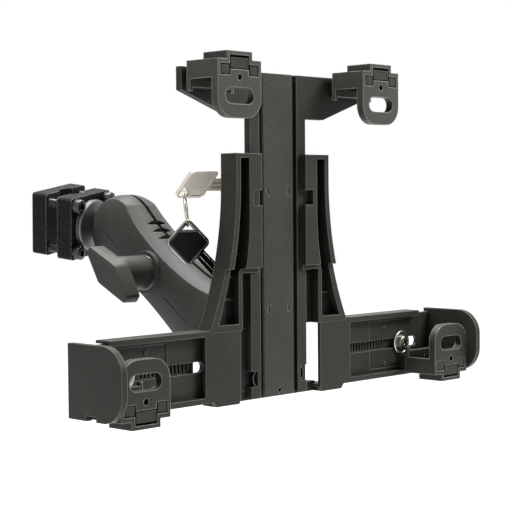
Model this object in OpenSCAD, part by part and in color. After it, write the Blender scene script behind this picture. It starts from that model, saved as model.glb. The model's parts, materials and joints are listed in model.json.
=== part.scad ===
// Tablet holder on a two ball arm with a clamp for a headrest post.
// The origin is the centre of the post groove in the clamp, +Z is up, -Y faces the passenger.
// Lengths are millimetres and angles are degrees.

/* [Column] */
// Height of the column
column_h = 176; // [174:1:190]
// Width of the cover bar in the middle of the column
bar_w = 24.4; // [23:0.2:25]
// Thickness of the cover bar
bar_t = 2.6; // [2.2:0.1:2.8]
// Width of each side strip of the column
strip_w = 7.2; // [6.8:0.1:7.6]
// Width of the groove between the bar and a strip
groove_w = 2.6; // [2.2:0.1:3]
// Thickness of the column
column_t = 4.2; // [4:0.1:4.6]
// Thickness of the two top arms
top_arm_t = 4; // [3.6:0.1:4]
// Half of the span of the top arms
top_reach = 71.6; // [68:0.2:80]
// Height of a top arm beside the column
top_arm_h = 24; // [22:0.5:26]
// Height of a top arm at its tip
top_tip_h = 12; // [11.5:0.5:14]
// Travel of the upper frame
lift = 60; // [30:5:60]

/* [Gusset] */
// Drop from the top of the column to the top of the gussets
gusset_drop = 43.7; // [40:0.1:50]
// Half width of the gussets at their top
gusset_w = 36.6; // [36:0.2:38]
// Radius of the curved outer wall
outer_r = 185; // [170:5:200]
// Height of the straight part of the outer wall
straight_h = 14.3; // [10.3:0.1:18.3]
// Thickness of the outer wall at the top
gusset_wall = 3.1; // [2.6:0.1:3.5]
// Depth from the back plate to the front of the guide lips
lip_front = 4.4; // [4:0.1:5]
// Width of the overlap of a guide lip on a column strip
lip_overlap = 4.5; // [3.5:0.1:5]
// Height at which the guide lips end
lip_end_z = 71; // [69:0.5:74]
// Thickness of the back plate
back_t = 3; // [2.6:0.1:3.4]

/* [Rails] */
// Height of the top of the side rails
rail_top = 39.4; // [39.4:0.1:40]
// Height of the bottom of the side rails
rail_bottom = 1.5; // [0.8:0.1:1.5]
// Half of the span of the rails
rail_reach = 122.4; // [120:0.2:124]
// Inner edge of the lower blocks
block_in = 31.9; // [31:0.1:32.4]
// Outer edge of the front plates of the blocks
block_out = 57.8; // [54:0.2:60]
// Thickness of the rail walls
rail_wall = 1.6; // [1.5:0.1:1.8]
// Height of the lips that hold the slide plates
rail_lip = 3; // [2.8:0.1:3.2]
// Pitch of the rack teeth
rack_pitch = 2.6; // [2.4:0.1:3]

/* [Side arms] */
// Thickness of the slide plates
slide_t = 2.7; // [2.4:0.1:2.8]
// Inner end of the slide plates
slide_in = 47; // [46:0.5:48]
// Height of the slot in the slide plates
slot_h = 5.8; // [5.2:0.1:6.2]
// Distance of the end plates from the middle plane
end_x = 138; // [137.6:0.1:139]
// Thickness of the end plates
end_t = 3.5; // [3:0.1:4]
// Depth of the end plates
end_depth = 39.9; // [39:0.1:42]
// Travel of the side arms outwards
slide_out = 48; // [20:1:48]
// Travel of the side arms inwards
slide_back = 12; // [4:1:12]

/* [Hooks] */
// Width of a hook
hook_w = 31.1; // [30.5:0.1:32]
// Thickness of the tab of a hook
tab_t = 4.5; // [4:0.1:5]
// Height of the tab below the ledge
tab_h = 27; // [26:0.5:30]
// Length of the slot in the tab
tab_slot_w = 20.4; // [18:0.2:21]
// Height of the slot in the tab
tab_slot_h = 8.2; // [7.6:0.1:8.6]
// Reach of a hook from the front of the column
hook_reach = 26.6; // [25:0.1:28]

/* [Arm] */
// Diameter of the two balls
ball_d = 25.4; // [25:0.1:25.8]
// Distance between the centres of the balls
arm_len = 90; // [88:1:100]
// Slope of the arm above the horizontal
arm_slope = 35; // [30:1:38]
// Distance of the bolt from the middle of the arm
bolt_shift = 4; // [0:0.5:5]
// Half height of the arm at its middle
waist_h = 18; // [17:0.5:19]
// Radius of the ends of the arm
socket_r = 22; // [21.5:0.1:22.5]
// Width of the slit between the arm halves
slit = 3; // [2.4:0.1:3.4]
// Diameter of the neck of a ball
neck_d = 10; // [9:0.2:10.4]
// Diameter of the bolt through the arm
bolt_d = 6; // [5:0.5:6]

/* [Wing knob] */
// Length over the two wings
wing_len = 43.5; // [40:0.5:52]
// Width of the wings in their middle
wing_w = 17.2; // [15:0.2:18]
// Thickness of the wings
wing_t = 9.4; // [8:0.2:10]
// Turn of the wings from the line of the arm
wing_turn = 6; // [-45:1:45]
// Length of the knob from its foot to the front of its wings
knob_len = 27.1; // [26:0.1:32]
// Diameter of the barrel of the knob
knob_d = 20; // [18:0.5:21]

/* [Post clamp] */
// Diameter of the headrest post
post_d = 16; // [12:0.5:16]
// Width of the jaws
jaw_w = 40; // [39:0.5:44]
// Height of the jaws
jaw_h = 38.3; // [37.5:0.1:42]
// Thickness of each jaw
jaw_t = 10.5; // [10:0.1:12]
// Gap between the jaws
jaw_gap = 8.5; // [7.5:0.1:9]
// Diameter of the clamp screws
clamp_screw_d = 5; // [4:0.5:5]

/* [Lock] */
// Side of the square key head
key_head = 19.8; // [18:0.1:19.8]
// Thickness of the keys
key_t = 2; // [1.8:0.1:2]
// Diameter of the key ring on the centre of its wire
ring_d = 18.8; // [18.4:0.1:19.2]

/* [Hidden] */
$fn = 96;

// Clearance between sliding pieces
slide_gap = 0.3;
// Clearance between a ball and its socket
ball_gap = 0.3;
// Radial clearance of pins and screws that turn
pin_gap = 0.05;

// Column, measured from the front face and the foot of the column
strip_in = bar_w / 2 + groove_w;
strip_out = strip_in + strip_w;
back_y = column_t + slide_gap;
back_end = back_y + back_t;
arm_top = column_h;

// Gusset
gusset_top = column_h - gusset_drop;
curve_z = gusset_top - straight_h;
lip_curve_z = gusset_top - 32.3;
latch_low = gusset_top - 27.8;
latch_high = gusset_top - 19.6;
lip_in = strip_out - lip_overlap;
guide_x = strip_out + slide_gap;
lip_out = 26.8;
low_front = 1.8;
jog_in = 30.5;
jog_out = 33;
channel_r = outer_r + 17.5;
channel_floor = 41.6;
rib_h = 1.4;

// Rails
slide_front = 3.1;
slide_end = slide_front + slide_t;
rail_front = -1.6;
rail_back = slide_end + slide_gap;
rail_end = rail_back + 2.9;
rail_mid = (rail_top + rail_bottom) / 2;
plate_low = rail_bottom + rail_wall + slide_gap;
plate_high = rail_top - rail_wall - slide_gap;
screw_x = 110.3;
screw_z = rail_mid;
wall_end = screw_x + 5.7;
slot_in = screw_x - slide_out - 7.1;
slot_out = screw_x + slide_back + 4.2;

// Hooks stand on bosses in front of the arms
hook_back = -4;
ledge_z = column_h;
hook_x_top = top_reach - hook_w / 2;
hook_x_low = end_x - 1.4 - hook_w / 2;
low_ledge_z = 5.5;
fix_z = -5.5;

// Arm and balls
ball_r = ball_d / 2;
neck_r = neck_d / 2;
flange_t = 4;
flange_y = 24;
face_y = flange_y + flange_t;
housing_back = 24.3;
holder_ball_at = [0, housing_back + face_y, 37.4];
clamp_ball_at = holder_ball_at + arm_len * [0, cos(arm_slope), sin(arm_slope)];
crown_x = 16.5;
boss_x = 17;
bolt_at = arm_len / 2 + bolt_shift;
boss_r = 12.6;
spring_room = 6;
line_len = 23;
wheel_r = 204;
rim_r = 23.3;
rim_cut = 4;

// Clamp
clamp_turn = [7.4, -8.6, 14];
clamp_dir = [
    cos(clamp_turn[2]) * sin(clamp_turn[1]) * sin(clamp_turn[0]) - sin(clamp_turn[2]) * cos(clamp_turn[0]),
    sin(clamp_turn[2]) * sin(clamp_turn[1]) * sin(clamp_turn[0]) + cos(clamp_turn[2]) * cos(clamp_turn[0]),
    cos(clamp_turn[1]) * sin(clamp_turn[0])
];
post_y = face_y + jaw_t + jaw_gap / 2;
post_at = clamp_ball_at + post_y * clamp_dir;
clamp_screw_r = clamp_screw_d / 2;
clamp_screw_x = jaw_w / 2 - 4.6;
clamp_screw_z = jaw_h / 2 - 4.75;

// Lock
lock_at = [0, 17.8, gusset_top - 15.8];
barrel_r = 6;
plug_r = 4.2;
key_in = -34.6;
ring_r = ring_d / 2;
wire_r = 0.6;
ring_play = 0.95;
blade_w = 6.6;
groove_d = 0.5;
ring_turn = 44.2;
hole_y = 6.2;
ring_tilt = -6;
ring_roll = 14;
hang_at = [key_in - 15.4, lock_at[1] + hole_y / sqrt(2), lock_at[2] - hole_y / sqrt(2)];
ring_low = ring_r * [sin(ring_roll), (1 + cos(ring_roll)) * sin(ring_tilt), -(1 + cos(ring_roll)) * cos(ring_tilt)];
low_at = hang_at + [
    ring_low[0] * cos(ring_turn) - ring_low[1] * sin(ring_turn),
    ring_low[0] * sin(ring_turn) + ring_low[1] * cos(ring_turn),
    ring_low[2]
];
spare_side = 18.5;
spare_turn = -20;
spare_apex = spare_side / sqrt(2) - 2.6;
spare_hole = 3.6;
spare_rim = 1.3;
spare_at = low_at + [0, 0, -spare_apex + wire_r * sqrt(2) + ring_play];

// Placing
module holder() {
    translate(-post_at) children();
}
module clamp() {
    translate(clamp_ball_at - post_at) rotate(clamp_turn) children();
}
module arm() {
    translate(holder_ball_at - post_at) rotate([arm_slope, 0, 0]) children();
}
module both() {
    children();
    mirror([1, 0, 0]) children();
}

// Basic forms
module box(x0, x1, y0, y1, z0, z1) {
    translate([x0, y0, z0]) cube([x1 - x0, y1 - y0, z1 - z0]);
}
module plate(y0, y1) {
    translate([0, y1, 0]) rotate([90, 0, 0]) linear_extrude(y1 - y0) children();
}
module rod_x(x0, x1, y, z, r) {
    translate([x0, y, z]) rotate([0, 90, 0]) cylinder(h = x1 - x0, r = r);
}
module rod_y(y0, y1, x, z, r) {
    translate([x, y1, z]) rotate([90, 0, 0]) cylinder(h = y1 - y0, r = r);
}
module slot2d(x0, x1, z, h) {
    translate([x0 + h / 2, z - h / 2]) square([x1 - x0 - h, h]);
    translate([x0 + h / 2, z]) circle(d = h);
    translate([x1 - h / 2, z]) circle(d = h);
}
module round_box2d(x0, x1, z0, z1, r) {
    translate([x0 + r, z0]) square([x1 - x0 - 2 * r, z1 - z0]);
    translate([x0, z0 + r]) square([x1 - x0, z1 - z0 - 2 * r]);
    for (x = [x0 + r, x1 - r], z = [z0 + r, z1 - r]) translate([x, z]) circle(r = r);
}

// Gusset outlines for the right side, seen from the front
module wall_outside(top_w, r) {
    translate([top_w + r, curve_z]) circle(r = r, $fn = 240);
    translate([top_w, curve_z]) square([60, 60]);
}
module gusset2d() {
    difference() {
        translate([0, rail_top - 1.4]) square([70, gusset_top - rail_top + 1.4]);
        wall_outside(gusset_w, outer_r);
    }
}
module channel2d() {
    difference() {
        translate([lip_in, channel_floor]) square([60, gusset_top - 2.4 - channel_floor]);
        wall_outside(gusset_w - gusset_wall, channel_r);
        lip2d();
        translate([0, channel_floor - 1]) square([jog_in + 1, lip_end_z - channel_floor]);
    }
}
module lip2d() {
    difference() {
        translate([lip_in, lip_end_z - 2.5]) square([16, gusset_top - lip_end_z + 2.5]);
        translate([lip_out + 140, lip_curve_z]) circle(r = 140, $fn = 240);
        translate([lip_out, lip_curve_z]) square([20, 60]);
    }
    difference() {
        union() {
            translate([lip_in, channel_floor - 2]) square([jog_out - lip_in - 3, lip_end_z - channel_floor + 2]);
            translate([lip_in, channel_floor - 2]) square([jog_out - lip_in, lip_end_z - channel_floor - 1]);
            translate([jog_out - 3, lip_end_z - 3]) circle(r = 3);
        }
        translate([lip_in - 1, channel_floor - 3]) square([jog_in - lip_in + 1, lip_end_z - 2.5 - channel_floor + 3]);
    }
}
module ribs2d() {
    intersection() {
        channel2d();
        for (z = [54 : 12 : 126]) translate([0, z]) square([70, 1.2]);
    }
}
module walls2d() {
    difference() {
        gusset2d();
        channel2d();
        translate([-1, 0]) square([jog_in + 1, lip_end_z - 2.5]);
        translate([-1, 0]) square([lip_in + 1, gusset_top + 1]);
    }
}

module base_half() {
    // Back plate of the gusset
    plate(back_y, back_end) gusset2d();
    // Walls, deep above the end of the lips and shallower below it
    difference() {
        union() {
            plate(-lip_front, back_y) intersection() {
                walls2d();
                translate([0, lip_end_z]) square([70, 80]);
            }
            plate(-low_front, back_y) walls2d();
        }
        box(-1, guide_x, -slide_gap, back_y + 0.001, 0, gusset_top + 1);
        box(-1, lip_in + 6.2, -lip_front - 1, -slide_gap, latch_low, latch_high);
    }
    plate(back_y - rib_h, back_y) ribs2d();
    // Front plate of the lower block
    plate(rail_front, rail_front + 2) polygon([
        [block_in, rail_bottom], [block_in + 1.1, -1.1], [50, -1.1], [52, rail_bottom],
        [block_out, rail_bottom], [block_out, rail_top + 0.2], [block_in, rail_top + 0.2]
    ]);
    // Rail walls and lips
    box(block_in, rail_reach, rail_front, rail_end, rail_top - rail_wall, rail_top);
    box(block_in, rail_reach, rail_front, rail_end, rail_bottom, rail_bottom + rail_wall);
    box(block_out, rail_reach, rail_front, slide_front - slide_gap, rail_top - rail_lip, rail_top);
    box(block_out, rail_reach, rail_front, slide_front - slide_gap, rail_bottom, rail_bottom + rail_lip);
    box(block_in + 1.1, 50, rail_front, rail_end, -1.1, rail_bottom + rail_wall);
    // Back wall with the rack and the hole for the slide screw
    difference() {
        box(59.5, wall_end, rail_back, rail_end, rail_bottom, rail_top);
        for (i = [0 : 12]) {
            box(64 + i * rack_pitch, 64 + (i + 0.55) * rack_pitch, rail_back - 1, rail_back + 1.8,
                rail_mid - 2.6, rail_mid + 2.6);
        }
        rod_y(rail_back - 1, rail_end + 1, screw_x, screw_z, 2);
    }
    // Tie behind the column
    box(-0.01, block_in + 2, back_y, rail_end, -1, rail_bottom + rail_lip);
}

module base_frame() {
    color("dimgray") holder() both() base_half();
}

module lock_housing() {
    color("dimgray") holder() difference() {
        union() {
            plate(back_end, housing_back) {
                round_box2d(-15, 15, 22, gusset_top - 4.3, 5);
                translate([0, holder_ball_at[2]]) circle(r = 18.5);
            }
            rod_x(-15, 4, lock_at[1], lock_at[2], barrel_r + 1.6);
        }
        rod_x(-15.1, -3, lock_at[1], lock_at[2], barrel_r);
        for (a = [45 : 90 : 315]) {
            rod_y(housing_back - 5, housing_back + 1, 13 * cos(a), holder_ball_at[2] + 13 * sin(a), 1.25);
        }
    }
}

module lock_barrel() {
    color("silver") holder() difference() {
        union() {
            rod_x(-22, -3, lock_at[1], lock_at[2], barrel_r);
            rod_x(-22, -20.8, lock_at[1], lock_at[2], barrel_r + 0.8);
        }
        rod_x(-22.1, -6, lock_at[1], lock_at[2], plug_r + pin_gap);
    }
}

// The key stands in a plane turned about the axis of the lock
module key_plane() {
    holder() translate(lock_at) rotate([-45, 0, 0]) children();
}

module lock_plug() {
    color("silver") key_plane() difference() {
        rod_x(-22.3, -6.2, 0, 0, plug_r);
        box(-23, -9.9, -blade_w / 2, blade_w / 2, -key_t / 2, key_t / 2);
    }
}

module lock_key() {
    color("gainsboro") key_plane() difference() {
        translate([0, 0, -key_t / 2]) linear_extrude(key_t) difference() {
            union() {
                translate([key_in - key_head, 0]) round_box2d(0, key_head, -key_head / 2, key_head / 2, 3);
                translate([key_in - 1, -blade_w / 2]) square([-9.9 - key_in + 1, blade_w]);
                translate([key_in - 1, -blade_w / 2 - 1.3]) square([-24 - key_in + 1, blade_w + 2.6]);
            }
            translate([key_in - key_head + 1.5, key_head / 2 - 1.5]) polygon([[0, 0], [7.2, 0], [0, -7.2]]);
        }
        // Sunk panel of the head with a rim round it
        for (s = [-1, 1]) translate([0, 0, s * key_t / 2]) linear_extrude(0.5, center = true) difference() {
            translate([key_in - key_head, 0]) {
                round_box2d(1.5, key_head - 1.5, 1.5 - key_head / 2, key_head / 2 - 1.5, 1.5);
            }
            translate([key_in - key_head, key_head / 2]) rotate(45) square(16, center = true);
        }
        // Milled grooves of the blade
        for (y = [-1.5, 1.5], z = [-1, 1]) translate([0, 0, z * key_t / 2]) {
            box(key_in + 0.6, -22.4, y - 0.6, y + 0.6, -groove_d, groove_d);
        }
    }
}

module key_ring() {
    color("silver") holder() translate(hang_at) rotate([ring_tilt, 0, ring_turn]) {
        translate(ring_r * [sin(ring_roll), 0, -cos(ring_roll)]) rotate([90, 0, 0]) {
            rotate_extrude() translate([ring_r, 0]) circle(r = wire_r, $fn = 24);
        }
    }
}

module spare_place() {
    holder() translate(spare_at) rotate([0, 0, spare_turn]) children();
}
module spare_head2d(side, r) {
    rotate(45) round_box2d(-side / 2, side / 2, -side / 2, side / 2, r);
}
module spare_hole2d() {
    translate([0, spare_apex]) polygon([[0, 0], [-spare_hole, -spare_hole], [spare_hole, -spare_hole]]);
}
module spare_inlay2d() {
    difference() {
        spare_head2d(spare_side - 2 * spare_rim, 1.2);
        translate([-10, spare_apex - spare_hole - 1.3]) square([20, 20]);
    }
}
module spare_key() {
    color("gainsboro") spare_place() difference() {
        plate(-key_t / 2, key_t / 2) difference() {
            union() {
                spare_head2d(spare_side, 3);
                rotate(-45) translate([spare_side / 2 - 1, 0]) polygon([
                    [0, -blade_w / 2], [18.6, -blade_w / 2], [21, -1.2],
                    [21, 1.2], [18.6, blade_w / 2], [0, blade_w / 2]
                ]);
            }
            spare_hole2d();
        }
        plate(-key_t / 2 - 1, -key_t / 2 + 0.5) spare_inlay2d();
        // Milled grooves of the blade
        for (y = [-1, 1], z = [-1.5, 1.5]) translate([0, y * key_t / 2, 0]) rotate([0, 45, 0]) {
            box(spare_side / 2 + 0.6, spare_side / 2 + 17.6, -groove_d, groove_d, z - 0.6, z + 0.6);
        }
    }
}
module spare_key_inlay() {
    color("black") spare_place() plate(-key_t / 2 - 0.1, -key_t / 2 + 0.5) spare_inlay2d();
}

// Pan head screws and washers that hold the slide plates
module slide_washers() {
    color("silver") holder() both() difference() {
        rod_y(slide_front - 1.2, slide_front, screw_x, screw_z, 7.1);
        rod_y(slide_front - 2, slide_front + 1, screw_x, screw_z, 2.1);
    }
}
module slide_screws() {
    color("silver") holder() both() difference() {
        union() {
            rod_y(slide_front - 3.6, slide_front - 1.2, screw_x, screw_z, 4.3);
            rod_y(slide_front - 1.3, rail_end, screw_x, screw_z, 2);
        }
        box(screw_x - 2.4, screw_x + 2.4, slide_front - 4, slide_front - 2.2, screw_z - 0.5, screw_z + 0.5);
        box(screw_x - 0.5, screw_x + 0.5, slide_front - 4, slide_front - 2.2, screw_z - 2.4, screw_z + 2.4);
    }
}

// Upper frame, one moulding of two strips, a web behind the bar and two arms
module top_arm2d() {
    polygon([
        [strip_in, arm_top], [strip_in, arm_top - top_arm_h], [37, arm_top - top_arm_h],
        [top_reach, arm_top - top_tip_h], [top_reach, arm_top]
    ]);
}
module arm_pockets2d() {
    difference() {
        polygon([
            [strip_out + 3, arm_top - 2.3], [strip_out + 3, arm_top - top_arm_h + 2.3],
            [37, arm_top - top_arm_h + 2.3], [top_reach - 2.3, arm_top - top_tip_h + 1.8],
            [top_reach - 2.3, arm_top - 2.3]
        ]);
        for (x = [34 : 9 : 70]) translate([x, 0]) square([1.4, arm_top]);
        translate([hook_x_top, ledge_z + fix_z]) circle(r = 5);
    }
}
module upper_frame() {
    color("dimgray") holder() difference() {
        both() {
            plate(0, top_arm_t) top_arm2d();
            box(strip_in, strip_out, 0, column_t, 0, column_h);
            box(-0.01, strip_in + 0.01, bar_t, column_t, 0, column_h);
            box(hook_x_top - 12, hook_x_top + 12, hook_back, 0.01, ledge_z - 11, ledge_z - 2);
        }
        both() {
            plate(1.8, top_arm_t + 1) arm_pockets2d();
            box(strip_out - 5, strip_out + 1, -1, column_t + 1, 6.5, 15);
            rod_y(hook_back - 1, top_arm_t + 1, hook_x_top, ledge_z + fix_z, 1.25);
        }
    }
}

module column_bar() {
    color("dimgray") holder() difference() {
        linear_extrude(column_h) polygon([
            [-bar_w / 2, bar_t], [-bar_w / 2, 0.8], [0.8 - bar_w / 2, 0],
            [bar_w / 2 - 0.8, 0], [bar_w / 2, 0.8], [bar_w / 2, bar_t]
        ]);
        rod_y(-1, bar_t + 1, 0, 3, 1.2);
        for (z = [column_h - 128, column_h - 64]) both() plate(-1, 0.5) translate([7, z]) difference() {
            circle(r = 2.2);
            translate([-3, -3]) square([3, 6]);
        }
    }
}

module foot_springs() {
    color("gray") holder() both() plate(0.6, column_t - 0.6) intersection() {
        translate([strip_out - 5, 6.5]) square([6, 8.5]);
        translate([strip_out - 6.8, 10.75]) difference() {
            circle(r = 5.2);
            circle(r = 4.5);
        }
    }
}

// Hook in its own frame, the origin on the ledge line in the middle of its width
module tab2d() {
    difference() {
        union() {
            translate([-hook_w / 2, -tab_h + 10.5]) square([hook_w, tab_h - 16.2]);
            translate([-hook_w / 2 + 10.5, -tab_h]) square([hook_w - 21, 12]);
            for (s = [-1, 1]) translate([s * (hook_w / 2 - 10.5), -tab_h + 10.5]) circle(r = 10.5);
            translate([-6.5, -7]) square([13, 4.4]);
            for (s = [-1, 1]) translate([s * (hook_w / 2 - 0.9) - 0.9, -7]) square([1.8, 9.4]);
        }
        slot2d(-tab_slot_w / 2, tab_slot_w / 2, -15.8, tab_slot_h);
        translate([0, -6.4]) circle(r = 1.6);
    }
}
module hook() {
    difference() {
        union() {
            plate(-hook_reach, -hook_reach + tab_t) tab2d();
            // Ledge with a raised cap over the pad
            box(-hook_w / 2, hook_w / 2, -hook_reach, hook_back, 0, 2.4);
            box(-9.05, 9.05, -hook_reach, -9.6, 2, 6.6);
            // Side webs and the wall behind the held device
            for (s = [-1, 1]) translate([s * (hook_w / 2 - 0.9), 0, 0]) {
                box(-0.9, 0.9, -hook_reach + tab_t - 0.1, hook_back, -7, 1);
                box(-0.9, 0.9, hook_back - 2.5, hook_back, -13, -6);
            }
            box(-hook_w / 2, hook_w / 2, hook_back - 2.5, hook_back, -11, 1);
        }
        // Seat of the pad
        box(-7.1, 7.1, -hook_reach - 1, -10.8, -1, 4.6);
        // Fixing screw
        rod_y(hook_back - 3, hook_back + 1, 0, fix_z, 1.5);
    }
}
module pad() {
    box(-7, 7, -hook_reach, -10.8, -2.5, 3.8);
    for (s = [-1, 1]) translate([s * 10.15, 0, 0]) box(-3.45, 3.45, -hook_reach, -10.8, -5.7, 0);
}
module fix_screw(depth) {
    difference() {
        union() {
            rod_y(hook_back - 4.3, hook_back - 2.5, 0, fix_z, 2.4);
            rod_y(hook_back - 2.6, depth, 0, fix_z, 1.2);
        }
        box(-1.5, 1.5, hook_back - 5, hook_back - 3.4, fix_z - 0.3, fix_z + 0.3);
        box(-0.3, 0.3, hook_back - 5, hook_back - 3.4, fix_z - 1.5, fix_z + 1.5);
    }
}
module at_top(side) {
    holder() translate([side * hook_x_top, 0, ledge_z]) children();
}
module at_low(side) {
    holder() translate([side * hook_x_low, 0, low_ledge_z]) mirror([0, 0, 1]) children();
}
module hook_upper_left() {
    color("dimgray") at_top(-1) hook();
}
module hook_upper_right() {
    color("dimgray") at_top(1) hook();
}
module hook_lower_left() {
    color("dimgray") at_low(-1) hook();
}
module hook_lower_right() {
    color("dimgray") at_low(1) hook();
}
module pad_upper_left() {
    color("black") at_top(-1) pad();
}
module pad_upper_right() {
    color("black") at_top(1) pad();
}
module pad_lower_left() {
    color("black") at_low(-1) pad();
}
module pad_lower_right() {
    color("black") at_low(1) pad();
}
module upper_hook_screws() {
    color("silver") {
        at_top(-1) fix_screw(3.5);
        at_top(1) fix_screw(3.5);
    }
}
module hook_screw_left() {
    color("silver") at_low(-1) fix_screw(3);
}
module hook_screw_right() {
    color("silver") at_low(1) fix_screw(3);
}

// Side arm, a slide plate with a long slot, an end plate and a boss for the hook
module side_arm() {
    low_z = low_ledge_z;
    difference() {
        union() {
            plate(slide_front, slide_end) translate([slide_in, plate_low]) {
                square([end_x - slide_in + 1, plate_high - plate_low]);
            }
            translate([end_x, 0, 0]) rotate([90, 0, 90]) linear_extrude(end_t) difference() {
                union() {
                    translate([6.9 - end_depth + 14, 3]) square([end_depth - 14, 36.6]);
                    translate([6.9 - end_depth, 17]) square([20, 8.6]);
                    for (z = [17, 25.6]) translate([6.9 - end_depth + 14, z]) circle(r = 14);
                }
                translate([-13.9, 2]) square([7.1, 3.6]);
            }
            box(hook_x_low - 13, end_x + 0.1, hook_back, slide_front + 0.1, low_z - 0.4, low_z + 7.6);
            for (z = [8.5, 31.3]) rod_y(slide_front - 0.1, slide_front + 0.6, 95, z, 1.2);
        }
        plate(slide_front - 1, slide_end + 1) slot2d(slot_in, slot_out, rail_mid, slot_h);
        difference() {
            box(81, 128, slide_front - 1, slide_front + 0.5, plate_low + 3, plate_high - 3);
            box(hook_x_low - 13, 130, slide_front - 2, slide_front + 1, 0, low_z + 7.6);
            for (z = [8.5, 31.3]) rod_y(slide_front - 0.1, slide_front + 0.6, 95, z, 1.2);
        }
        rod_y(hook_back - 1, slide_end + 1, hook_x_low, low_z - fix_z, 1.25);
    }
}
module side_arm_left() {
    color("dimgray") holder() mirror([1, 0, 0]) side_arm();
}
module side_arm_right() {
    color("dimgray") holder() side_arm();
}

// Half section of an arm half, distance from the axis against distance from the split
module section2d() {
    intersection() {
        translate([0, slit / 2]) square([socket_r, boss_x]);
        translate([0, crown_x - 44.5]) circle(r = 44.5);
        translate([socket_r - rim_r, slit / 2]) circle(r = rim_r);
    }
}
module arm_solid() {
    for (y = [0, arm_len]) translate([0, y, 0]) rotate([90, 0, 90]) rotate_extrude() section2d();
    rotate([-90, 0, 0]) linear_extrude(arm_len) {
        mirror([1, 0]) rotate(90) section2d();
        rotate(-90) section2d();
    }
}
// Waist cutter, a wheel whose rim is narrower in the middle of the arm
module waist_cut() {
    rotate([90, 0, 90]) rotate_extrude($fn = 240) difference() {
        translate([0, -1]) square([wheel_r, boss_x + 2]);
        translate([wheel_r + rim_r - rim_cut, 0]) circle(r = rim_r);
    }
}
// Room in which the neck of a ball swings
module neck_room() {
    out = 5.54 + 26 * 0.27 - 5 + neck_r;
    rotate([90, 0, 90]) rotate([0, 0, -80]) rotate_extrude(angle = 97) {
        polygon([[8, -out + 4.9], [26, -out], [26, out], [8, out - 4.9]]);
    }
}
module arm_half() {
    difference() {
        union() {
            difference() {
                arm_solid();
                for (s = [-1, 1]) translate([0, arm_len / 2, s * (waist_h + wheel_r - rim_cut)]) waist_cut();
            }
            rod_x(slit / 2, boss_x, bolt_at, 0, boss_r);
        }
        for (y = [0, arm_len]) translate([0, y, 0]) sphere(r = ball_r + ball_gap);
        translate([0, arm_len, 0]) neck_room();
        rotate([180, 0, 0]) neck_room();
        rod_x(0, boss_x + 1, bolt_at, 0, bolt_d / 2 + 0.2);
        rod_x(0, spring_room, bolt_at, 0, 6.6);
        // Lens pockets across the top
        for (y = [13, 19.5, 26]) translate([0, arm_len / 2 + y, waist_h - 1.5]) linear_extrude(6) intersection() {
            translate([0, 14.2]) circle(r = 16);
            translate([0, -14.2]) circle(r = 16);
        }
        // Engraved lines on both sides of the boss
        for (y = [15.5, arm_len - 2]) translate([0, y, -2]) {
            box(crown_x - 0.5, crown_x + 2, -line_len / 2, line_len / 2, -0.4, 0.4);
        }
    }
}
module arm_half_far() {
    color("dimgray") arm() arm_half();
}
module arm_half_near() {
    color("dimgray") arm() mirror([1, 0, 0]) arm_half();
}

module arm_bolt() {
    color("silver") arm() {
        rod_x(-boss_x - 16, boss_x + 0.1, bolt_at, 0, bolt_d / 2);
        translate([boss_x, bolt_at, 0]) rotate([0, 90, 0]) cylinder(h = 4, r = 5.8, $fn = 6);
    }
}

// Spring that opens the halves, closed ends against the floors of the two counterbores
function coil(t) = let (a = 360 * 4 * t, e = spring_room - 0.55) [
    e * (t < 0.12 ? -1 : t > 0.88 ? 1 : (t - 0.5) / 0.38),
    5.6 * cos(a), 5.6 * sin(a)
];
module arm_spring() {
    steps = 80;
    sides = 8;
    wire = 0.5;
    pts = [for (i = [0 : steps]) let (
        p = coil(i / steps), a = 360 * 4 * i / steps
    ) for (j = [0 : sides - 1]) let (b = 360 * j / sides) [
        p[0] + wire * sin(b),
        p[1] + wire * cos(b) * cos(a),
        p[2] + wire * cos(b) * sin(a)
    ]];
    skin = [for (i = [0 : steps - 1], j = [0 : sides - 1]) let (k = (j + 1) % sides)
        [i * sides + j, i * sides + k, (i + 1) * sides + k, (i + 1) * sides + j]];
    first = [for (j = [sides - 1 : -1 : 0]) j];
    last = [for (j = [0 : sides - 1]) steps * sides + j];
    color("silver") arm() translate([0, bolt_at, 0]) polyhedron(pts, concat(skin, [first], [last]));
}

module knob_washer() {
    color("silver") arm() difference() {
        rod_x(-boss_x - 1.5, -boss_x, bolt_at, 0, knob_d / 2 + 0.6);
        rod_x(-boss_x - 2, -boss_x + 1, bolt_at, 0, bolt_d / 2 + 0.2);
    }
}

// The outline turns into itself at half a turn, its widest corners lie off the middle
module wing2d(cut) {
    for (a = [0, 180]) rotate(a) {
        for (y = [-0.8, 0.8]) translate([wing_len / 2 - 1.4, y]) circle(r = 1.4 - cut, $fn = 20);
        translate([2.2, wing_w / 2 - 2]) circle(r = 2 - cut, $fn = 24);
    }
}
module wing_knob() {
    foot = boss_x + 1.6;
    color("dimgray") arm() translate([0, bolt_at, 0]) difference() {
        union() {
            rod_x(-foot - knob_len + wing_t - 0.5, -foot, 0, 0, knob_d / 2);
            rotate([wing_turn, 0, 0]) rotate([90, 0, -90]) translate([0, 0, foot + knob_len - wing_t]) hull() {
                translate([0, 0, 0.9]) linear_extrude(wing_t - 1.8) wing2d(0);
                linear_extrude(wing_t) wing2d(0.9);
            }
        }
        rod_x(-foot - 15, -foot + 1, 0, 0, bolt_d / 2 + pin_gap);
    }
}

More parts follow.
